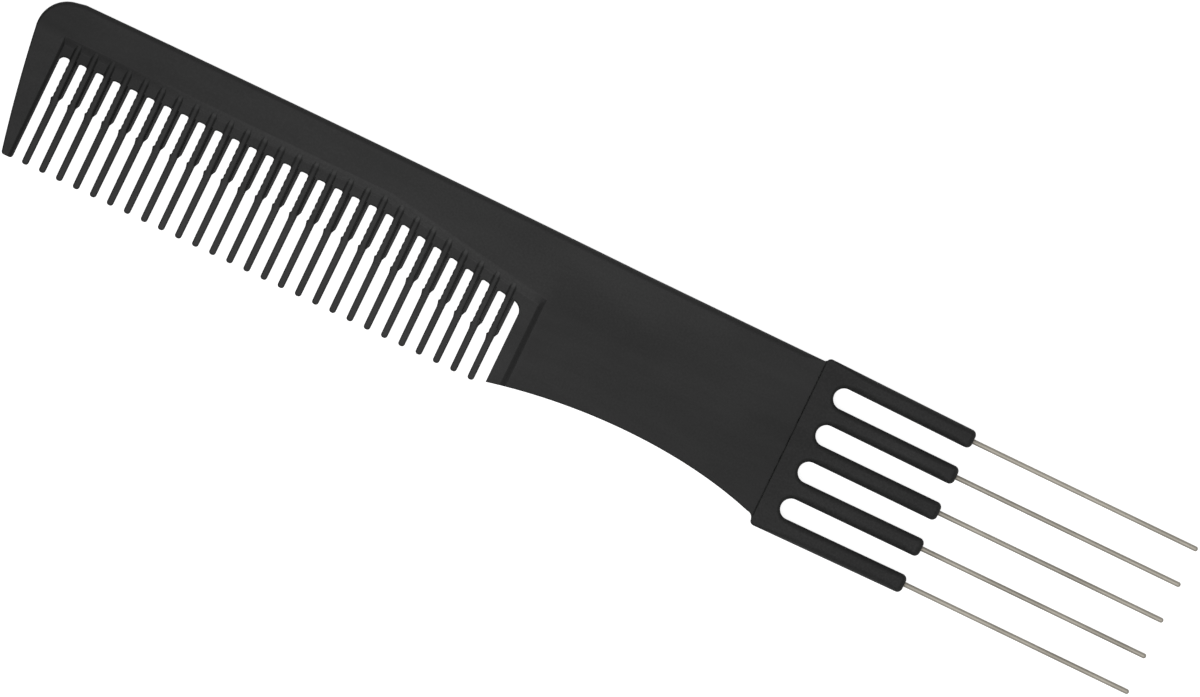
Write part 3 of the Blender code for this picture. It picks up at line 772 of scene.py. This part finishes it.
def makeProngHolder():
    halfThickness = (holderHigh.z - holderLow.z) / 2
    rings = roundedRings(holderRim(), halfThickness, holder["edgeSteps"])
    solid = extrudedSolid("prongHolder", rings)
    applyBoolean(solid, makeTongue("tongue", 0), "UNION")
    start = holderX + holder["boreRootWall"]
    length = fingerEndX + holder["boreOverrun"] - start
    for number in range(1, holder["fingerCount"] + 1):
        low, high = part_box(f"lift_pin_{number}")
        middle = (drawingOrigin.x + start + length / 2, (low.y + high.y) / 2, drawingOrigin.z)
        bpy.ops.mesh.primitive_cylinder_add(
            vertices=holder["boreSides"], radius=holder["boreRadius"], depth=length,
            location=middle, rotation=(0, math.pi / 2, 0))
        applyBoolean(solid, bpy.context.object, "DIFFERENCE")
    return solid


# Steel pins

pin = {
    "sides": 40,
    "tipRoundShare": 0.94,        # of the pin's radius
    "tipSteps": 8,
    "rootChamferShare": 0.3,
}


def makePin(number):
    low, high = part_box(f"lift_pin_{number}")
    radius, length = (high.y - low.y) / 2, high.x - low.x
    bpy.ops.mesh.primitive_cylinder_add(
        vertices=pin["sides"], radius=radius, depth=length,
        location=(low + high) / 2, rotation=(0, math.pi / 2, 0))
    bpy.ops.object.transform_apply(location=True, rotation=True, scale=True)
    obj = bpy.context.object
    obj.name = obj.data.name = f"liftPin{number}"
    enterEdit(obj)
    bpy.ops.mesh.select_mode(type="FACE")
    ends = ((high.x, pin["tipRoundShare"], pin["tipSteps"]), (low.x, pin["rootChamferShare"], 1))
    for endX, roundShare, segments in ends:
        bpy.ops.mesh.select_all(action="DESELECT")
        mesh = bmesh.from_edit_mesh(obj.data)
        for face in mesh.faces:
            face.select_set(abs(face.calc_center_median().x - endX) < radius / 10)
        bmesh.update_edit_mesh(obj.data)
        bpy.ops.mesh.bevel(offset=radius * roundShare, segments=segments, affect="EDGES")
    leaveEdit()
    return obj


# Finishes

def grey(value):
    return (value, value, value, 1)


def newGroup(name, inputs, outputs):
    group = bpy.data.node_groups.new(name, "ShaderNodeTree")
    for direction, sockets in (("INPUT", inputs), ("OUTPUT", outputs)):
        for label, kind in sockets.items():
            group.interface.new_socket(
                name=label, in_out=direction, socket_type="NodeSocket" + kind)
    return group, group.nodes.new("NodeGroupInput"), group.nodes.new("NodeGroupOutput")


def addNode(tree, kind, **settings):
    node = tree.nodes.new(kind)
    for key, value in settings.items():
        setattr(node, key, value)
    return node


def feed(tree, node, values):
    # a socket, by its name or number, takes what another one puts out or a plain value
    for label, value in values.items():
        if isinstance(value, bpy.types.NodeSocket):
            tree.links.new(value, node.inputs[label])
        else:
            node.inputs[label].default_value = value


def addPlace(tree):
    return addNode(tree, "ShaderNodeTexCoord").outputs["Object"]


def addStretch(tree, place, scale):
    mapping = addNode(tree, "ShaderNodeMapping")
    feed(tree, mapping, {"Vector": place, "Scale": scale})
    return mapping.outputs["Vector"]


def addNoise(tree, place, scale, detail):
    noise = addNode(tree, "ShaderNodeTexNoise")
    feed(tree, noise, {"Vector": place, "Scale": scale, "Detail": detail})
    return noise.outputs["Fac"]


def addRange(tree, value, low, high, newLow, newHigh):
    node = addNode(tree, "ShaderNodeMapRange")
    feed(tree, node, {"Value": value, "From Min": low, "From Max": high,
                      "To Min": newLow, "To Max": newHigh})
    return node.outputs["Result"]


def addRun(tree, value, base, run, newLow, newHigh):
    # a range whose two ends are given from a base
    return addRange(tree, value, base + run[0], base + run[1], newLow, newHigh)


def addMath(tree, operation, first, second):
    node = addNode(tree, "ShaderNodeMath", operation=operation)
    feed(tree, node, {0: first, 1: second})
    return node.outputs["Value"]


def addProduct(tree, product, *factors):
    for factor in factors:
        product = addMath(tree, "MULTIPLY", product, factor)
    return product


def addMix(tree, factor, first, second):
    # for colours this node takes them at 6 and 7, and puts the mix out at 2
    node = addNode(tree, "ShaderNodeMix", data_type="RGBA")
    feed(tree, node, {0: factor, 6: first, 7: second})
    return node.outputs[2]


def addBump(tree, height, strength, distance):
    bump = addNode(tree, "ShaderNodeBump")
    feed(tree, bump, {"Height": height, "Strength": strength, "Distance": distance})
    return bump.outputs["Normal"]


# What the two mouldings share. A noise has its scale and detail, and a mask the two levels of its
# noise and what it gives for them.
mouldGrain = {
    "clouds": (70, 4),
    "cloudMask": (0.35, 0.7, 0, 0.7),
    "flow": (160, 3),
    "flowStretch": (0.35, 1.6, 1),
    "flowMask": (0.35, 0.7, 0, 0.3),
    "flowRoughness": (0.3, 0.7, -0.05, 0.05),
    "grain": (2800, 3),
    "grainMask": (0.3, 0.75, -0.8, 0.8),
    "grainDepth": 0.00002,
    "speckScale": 130,
    "speckMask": (0.02, 0.05, 1, 0),
    "speckChoice": (0.86, 0.9, 0, 0.5),   # few of them show
}


def makeMouldedGroup():
    # black moulded plastic: soft flow clouds, a fine spark-eroded grain and a few pale specks
    group, given, result = newGroup(
        "mouldedPlastic",
        {"Color": "Color", "Cloud Color": "Color", "Speck Color": "Color",
         "Roughness": "Float", "Grain Height": "Float"},
        {"Color": "Color", "Roughness": "Float", "Normal": "Vector"})
    given, place = given.outputs, addPlace(group)
    clouds = addNoise(group, place, *mouldGrain["clouds"])
    stretched = addStretch(group, place, mouldGrain["flowStretch"])
    flow = addNoise(group, stretched, *mouldGrain["flow"])
    grain = addNoise(group, place, *mouldGrain["grain"])
    mask = addMath(group, "ADD", addRange(group, clouds, *mouldGrain["cloudMask"]),
                   addRange(group, flow, *mouldGrain["flowMask"]))
    mask = addMath(group, "ADD", mask, addRange(group, grain, *mouldGrain["grainMask"]))
    color = addMix(group, mask, given["Color"], given["Cloud Color"])

    dots = addNode(group, "ShaderNodeTexVoronoi")
    feed(group, dots, {"Vector": place, "Scale": mouldGrain["speckScale"]})
    chance = addNode(group, "ShaderNodeSeparateColor")
    feed(group, chance, {"Color": dots.outputs["Color"]})
    specks = addProduct(group, addRange(group, dots.outputs["Distance"], *mouldGrain["speckMask"]),
                        addRange(group, chance.outputs["Red"], *mouldGrain["speckChoice"]))

    uneven = addRange(group, flow, *mouldGrain["flowRoughness"])
    feed(group, result, {
        "Color": addMix(group, specks, color, given["Speck Color"]),
        "Roughness": addMath(group, "ADD", given["Roughness"], uneven),
        "Normal": addBump(group, grain, given["Grain Height"], mouldGrain["grainDepth"]),
    })
    return group


def newMaterial(name):
    material = bpy.data.materials.new(name)
    material.use_nodes = True
    return material, material.node_tree, material.node_tree.nodes["Principled BSDF"]


def makePlastic(name, group, finish, makePaintedLight):
    material, tree, shader = newMaterial(name)
    node = addNode(tree, "ShaderNodeGroup", node_tree=group)
    feed(tree, node, finish["group"])
    # the moulding's colour is scaled by painted light and shade
    withPaintedLight = addNode(tree, "ShaderNodeVectorMath", operation="SCALE")
    feed(tree, withPaintedLight, {"Vector": node.outputs["Color"], "Scale": makePaintedLight(tree, finish)})
    feed(tree, shader, {
        "Base Color": withPaintedLight.outputs["Vector"],
        "Roughness": node.outputs["Roughness"],
        "Normal": node.outputs["Normal"],
        "Specular IOR Level": finish["specular"],
    })
    return material


def placeParts(tree):
    split = addNode(tree, "ShaderNodeSeparateXYZ")
    feed(tree, split, {"Vector": addPlace(tree)})
    return split.outputs["X"], split.outputs["Y"]


bodyFinishAndPaintedLight = {
    "group": {"Color": grey(0.0175), "Cloud Color": grey(0.0215), "Speck Color": grey(0.2),
              "Roughness": 0.55, "Grain Height": 0.35},
    "specular": 0.1,
    # painted light and shade along the comb, in millimetres from the left guard's inner side
    "paintedLightAlong": ((-6, 0.81), (0, 0.81), (10, 0.9), (18, 0.95), (34, 0.985), (67, 1.05),
                  (98, 1.04), (113, 0.99), (125, 0.92)),
    "paintedLightTop": 2,                 # more than the highest painted level
    "handlePaintedShade": 0.21,           # painted shade: the handle is darker by this share away from the spine
    "handleRun": (0.002, 0.004),  # from the heel on
    "spineRun": (-0.002, -0.01),  # from the spine down
    "leftPaintedShade": 0.38,             # painted shade: the left end is darker by this share between its spine and teeth
    "leftToothPaintedShade": 0.4,         # of which this share on the teeth
    "leftRun": (0, 0.021),        # from the left guard on
    "toothPaintedHighlight": 0.38,           # painted highlight: the teeth are paler by this share
    "slopePaintedHighlight": 0.85,           # painted highlight: the recess's upper slope is paler by this share
    "slopePaintedHighlightLeft": 0.12,       # and by this share at its left end
    "slopeRun": (0.01, 0.034),    # where the one turns into the other, from the left guard
    # heights from the root line between which the painted light and shade change
    "toothRun": (-0.0002, -0.0012),
    "leftToothRun": (-0.0006, 0.0002),
    "guardRun": (0.002, 0.0035),
    "leftTopRun": (0.0075, 0.0045),
    # from the slope's foot and from its top
    "slopeFootRun": (-0.0002, 0.0003),
    "slopeTopRun": (-0.0002, 0.0001),
    # from the left guard's inner side, then from the heel
    "recessStart": (-0.0006, -0.0003),
    "teethStart": (0, 0.0005),
    "teethEnd": (-0.0005, 0),
    "slopeEnd": (0.001, 0.003),
}


def addStops(tree, x, stops, top):
    # a colour ramp ends at one, so it holds the painted light levels as shares of a top value
    ramp = addNode(tree, "ShaderNodeValToRGB")
    elements = ramp.color_ramp.elements
    first, last = stops[0][0], stops[-1][0]
    for number, (place, paintedLevel) in enumerate(stops):
        position = (place - first) / (last - first)
        if number < 2:
            stop = elements[number]
            stop.position = position
        else:
            stop = elements.new(position)
        stop.color = grey(paintedLevel / top)
    along = addRun(tree, x, drawingOrigin.x, (first * mm, last * mm), 0, 1)
    feed(tree, ramp, {"Fac": along})
    return addProduct(tree, ramp.outputs["Color"], top)


def bodyPaintedLight(tree, finish):
    # painted light and shade along the comb: painted shade on the handle and the left end, painted
    # highlight on the teeth and slope
    x, y = placeParts(tree)
    left, heel = drawingOrigin.x, drawingOrigin.x + heelX
    # painted light and shade along the comb, from a ramp of levels
    paintedLevel = addStops(tree, x, finish["paintedLightAlong"], finish["paintedLightTop"])
    # painted shade: the handle darker away from the spine
    handle = addProduct(tree, addRun(tree, x, heel, finish["handleRun"], 0, finish["handlePaintedShade"]),
                        addRun(tree, y, spineY, finish["spineRun"], 0, 1))
    paintedLevel = addMath(tree, "SUBTRACT", paintedLevel, handle)

    # the height above the root line, which falls towards the heel
    past = addMath(tree, "MAXIMUM", addMath(tree, "SUBTRACT", x, left + teeth["levelRoot"]), 0)
    above = addMath(tree, "SUBTRACT", y, rootY)
    above = addMath(tree, "ADD", above, addProduct(tree, past, fallSlope))

    inRecess = addRun(tree, x, left, finish["recessStart"], 0, 1)
    # painted shade: the left end darker between its spine and teeth
    offGuard = addMath(tree, "MAXIMUM", addRun(tree, above, 0, finish["guardRun"], 0, 1), inRecess)
    paintedShade = addProduct(tree, offGuard, addRun(tree, above, 0, finish["leftTopRun"], 0, 1),
                      addRun(tree, x, left, finish["leftRun"], finish["leftPaintedShade"], 0),
                      addRun(tree, above, 0, finish["leftToothRun"], finish["leftToothPaintedShade"], 1))

    # painted highlight on the recess's upper slope
    foot, top = recess["aboveRoot"], recess["aboveRoot"] + recess["topSlope"]
    growing = (finish["slopePaintedHighlightLeft"], finish["slopePaintedHighlight"])
    slope = addProduct(tree, addRun(tree, above, foot, finish["slopeFootRun"], 0, 1),
                       addRun(tree, above, top, finish["slopeTopRun"], 1, 0), inRecess,
                       addRun(tree, x, left, finish["slopeRun"], *growing),
                       addRun(tree, x, heel, finish["slopeEnd"], 1, 0))
    # painted highlight on the teeth
    paintedHighlight = addProduct(tree, addRun(tree, above, 0, finish["toothRun"], 0, finish["toothPaintedHighlight"]),
                       addRun(tree, x, left, finish["teethStart"], 0, 1),
                       addRun(tree, x, heel, finish["teethEnd"], 1, 0))
    paintedHighlight = addMath(tree, "ADD", paintedHighlight, slope)
    # painted highlights raise the colour and painted shade lowers it
    factor = addMath(tree, "ADD", 1, addMath(tree, "SUBTRACT", paintedHighlight, paintedShade))
    return addProduct(tree, paintedLevel, factor)


holderFinishAndPaintedLight = {
    "group": {"Color": grey(0.0104), "Cloud Color": grey(0.0158), "Speck Color": grey(0.12),
              "Roughness": 0.55, "Grain Height": 0.3},
    "specular": 0.1,
    "fingerPaintedHighlight": 0.18,          # painted highlight: the fingers are paler than the band by this share
    "fingerRun": (0, 0.004),      # from the band on
}


def holderPaintedLight(tree, finish):
    # painted highlight: the fingers paler than the band
    bandEnd = drawingOrigin.x + holderX + holder["bandLength"]
    return addRun(tree, placeParts(tree)[0], bandEnd, finish["fingerRun"],
                  1, 1 + finish["fingerPaintedHighlight"])


steelFinish = {
    "light": (0.295, 0.277, 0.242, 1),
    "dark": (0.186, 0.173, 0.149, 1),
    "patches": (130, 3),
    "patchMask": (0.3, 0.7, 0, 0.7),
    "scratches": (9000, 3),
    "scratchStretch": (0.02, 1, 1),
    "scratchMask": (0.3, 0.7, -0.15, 0.35),
    "scratchRoughness": (0.3, 0.7, -0.06, 0.06),
    "scratchStrength": 0.25,
    "scratchDepth": 0.00001,
    "roughness": 0.6,
}


def makeSteel(finish):
    # drawn wire: fine scratches along X over slow warm and cool patches
    material, tree, shader = newMaterial("drawnSteel")
    place = addPlace(tree)
    stretched = addStretch(tree, place, finish["scratchStretch"])
    scratches = addNoise(tree, stretched, *finish["scratches"])
    patches = addNoise(tree, place, *finish["patches"])
    mask = addMath(tree, "ADD", addRange(tree, patches, *finish["patchMask"]),
                   addRange(tree, scratches, *finish["scratchMask"]))
    uneven = addRange(tree, scratches, *finish["scratchRoughness"])
    feed(tree, shader, {
        "Base Color": addMix(tree, mask, finish["dark"], finish["light"]),
        "Metallic": 1,
        "Roughness": addMath(tree, "ADD", uneven, finish["roughness"]),
        "Normal": addBump(tree, scratches, finish["scratchStrength"], finish["scratchDepth"]),
    })
    return material


mouldedGroup = makeMouldedGroup()
bodyPlastic = makePlastic("bodyPlastic", mouldedGroup, bodyFinishAndPaintedLight, bodyPaintedLight)
holderPlastic = makePlastic("holderPlastic", mouldedGroup, holderFinishAndPaintedLight, holderPaintedLight)
drawnSteel = makeSteel(steelFinish)
print("finishes made")

finishPiece(makeToothedBody(), bodyPlastic, "comb_body")
finishPiece(makeProngHolder(), holderPlastic, "prong_holder")
for number in range(1, holder["fingerCount"] + 1):
    finishPiece(makePin(number), drawnSteel, f"lift_pin_{number}")


# Studio

studio = {
    "floorSize": 3,
    "floorColor": grey(0.65),
    "floorGlow": 0.8,             # what the camera adds to the lit floor, so that it shows white
    "worldLevel": 0.28,
    "keyPower": 4.6,
    "keySize": 0.5,
    "keyPlace": (-0.05, -0.22, 0.85),
    "fillPower": 1,
    "fillSize": 0.4,
    "fillPlace": (0.05, 0.15, 0.9),
    "roll": math.radians(25.77),  # the comb slopes down to the right in the picture
    "lens": 600,
    "frameWidth": 0.18268,        # what the picture's width covers at the comb
    "aim": (0.00172, 0.00012),
}


def addSeen(tree):
    # one for the camera and for what gloss and glass show, none for the light itself
    rays = addNode(tree, "ShaderNodeLightPath").outputs
    seen = addMath(tree, "MAXIMUM", rays["Is Camera Ray"], rays["Is Glossy Ray"])
    return addMath(tree, "MAXIMUM", seen, rays["Is Transmission Ray"])


def makeWorld():
    world = bpy.data.worlds.new("paleRoom")
    bpy.context.scene.world = world
    world.use_nodes = True
    tree = world.node_tree
    level = addRange(tree, addSeen(tree), 0, 1, studio["worldLevel"], 1)
    feed(tree, tree.nodes["Background"], {"Color": grey(1), "Strength": level})


def makeFloor():
    bpy.ops.mesh.primitive_plane_add(size=studio["floorSize"], location=(0, 0, 0))
    floor = bpy.context.object
    floor.name = "floor"
    material, tree, shader = newMaterial("paleFloor")
    feed(tree, shader, {
        "Base Color": studio["floorColor"],
        "Roughness": 1,
        "Specular IOR Level": 0,
        "Emission Color": grey(1),
        "Emission Strength": addProduct(tree, addSeen(tree), studio["floorGlow"]),
    })
    floor.data.materials.append(material)


def makeLamp(name, power, size, place):
    bpy.ops.object.light_add(type="AREA", location=place)
    lamp = bpy.context.object
    lamp.name = name
    lamp.data.energy = power
    lamp.data.shape = "DISK"
    lamp.data.size = size
    lamp.rotation_euler = (-Vector(place)).to_track_quat("-Z", "Y").to_euler()
    lamp.visible_camera = False


def makeCamera():
    bpy.ops.object.camera_add()
    camera = bpy.context.object
    camera.data.lens = studio["lens"]
    distance = studio["frameWidth"] * studio["lens"] / camera.data.sensor_width
    camera.location = (*studio["aim"], drawingOrigin.z + distance)
    camera.rotation_euler = (0, 0, studio["roll"])
    camera.data.clip_end = 10 * distance
    bpy.context.scene.camera = camera


makeWorld()
makeFloor()
makeLamp("keyLamp", studio["keyPower"], studio["keySize"], studio["keyPlace"])
makeLamp("fillLamp", studio["fillPower"], studio["fillSize"], studio["fillPlace"])
makeCamera()
bpy.context.scene.view_settings.view_transform = "Standard"
print("studio made")
